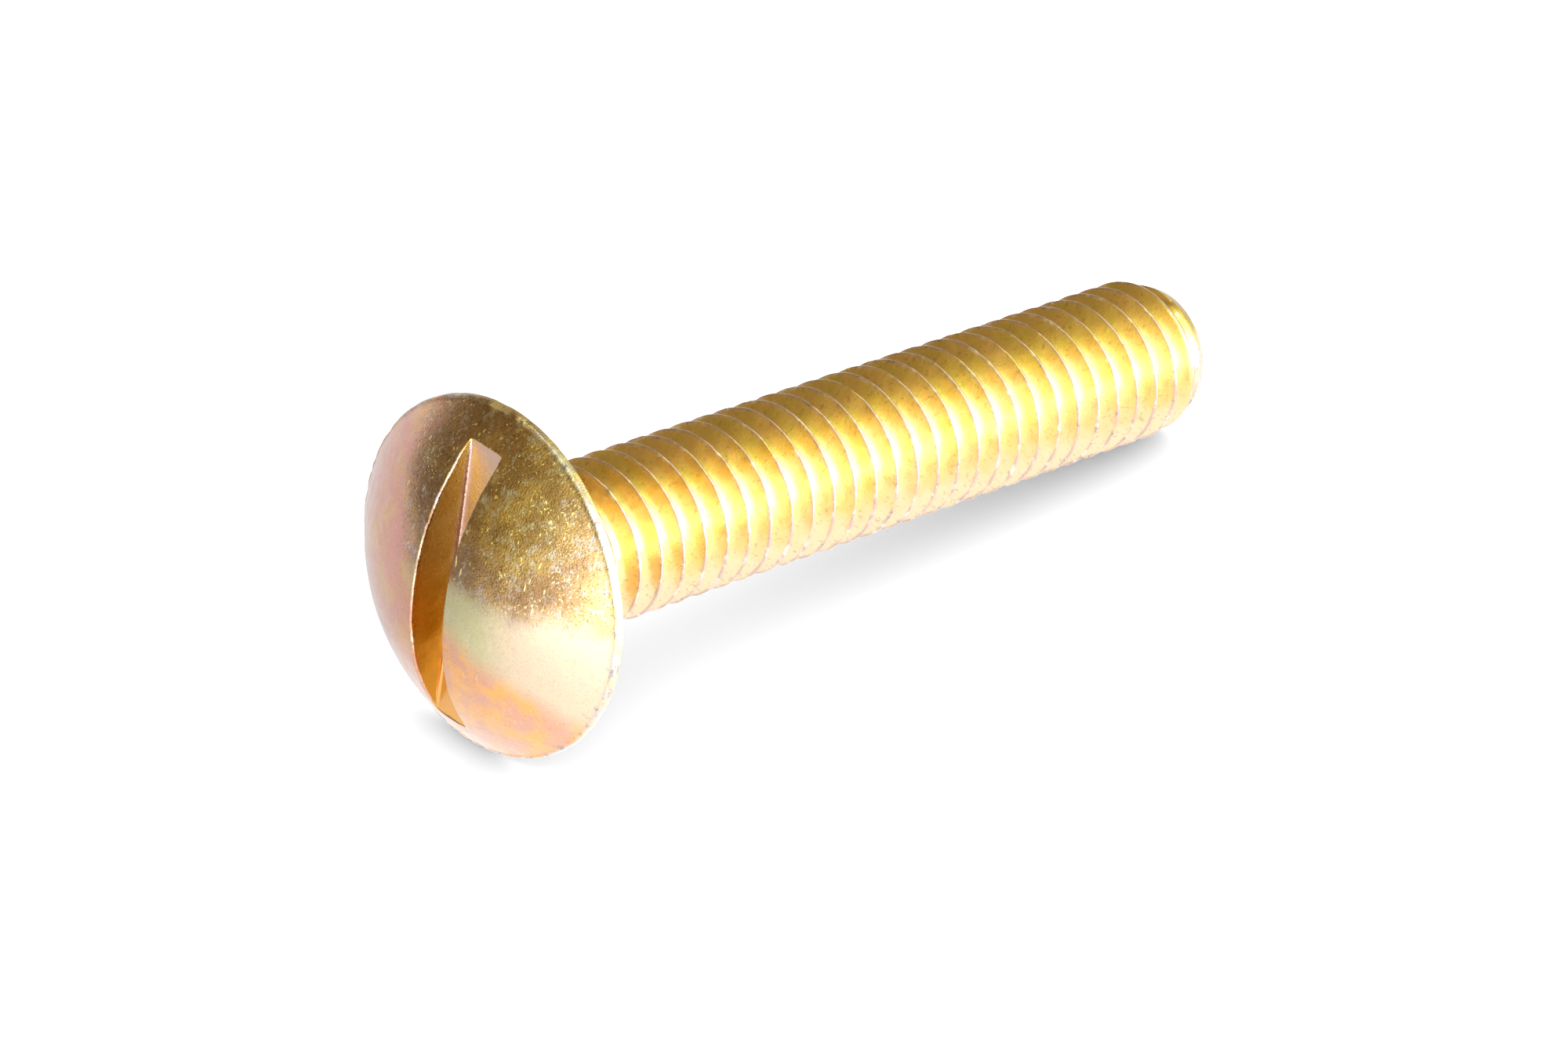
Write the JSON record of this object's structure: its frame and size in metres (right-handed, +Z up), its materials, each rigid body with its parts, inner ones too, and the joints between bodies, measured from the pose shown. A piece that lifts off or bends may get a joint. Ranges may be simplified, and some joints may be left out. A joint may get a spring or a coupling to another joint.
{
  "type": "machine screw",
  "caption": "Slotted mushroom-head machine screw in yellow zinc-plated steel, with a right-hand M4 thread along the whole shank and a tapered flat tip.",
  "frame": {"origin": "centre of the bearing face under the head, on the screw's axis", "axes": "+X along the axis from the head to the tip; the driver slot lies along Z; +Z up, as the screw lies on its side"},
  "size_m": [0.0243, 0.0086, 0.0086],
  "materials": {
    "plated_steel": "yellow chromate over zinc plate: satin gold with faint pink and green iridescence, fine grain, and pale worn crests and edges"
  },
  "bodies": {
    "root": {"head": "plated_steel", "threaded_shank": "plated_steel"}
  },
  "joints": []
}
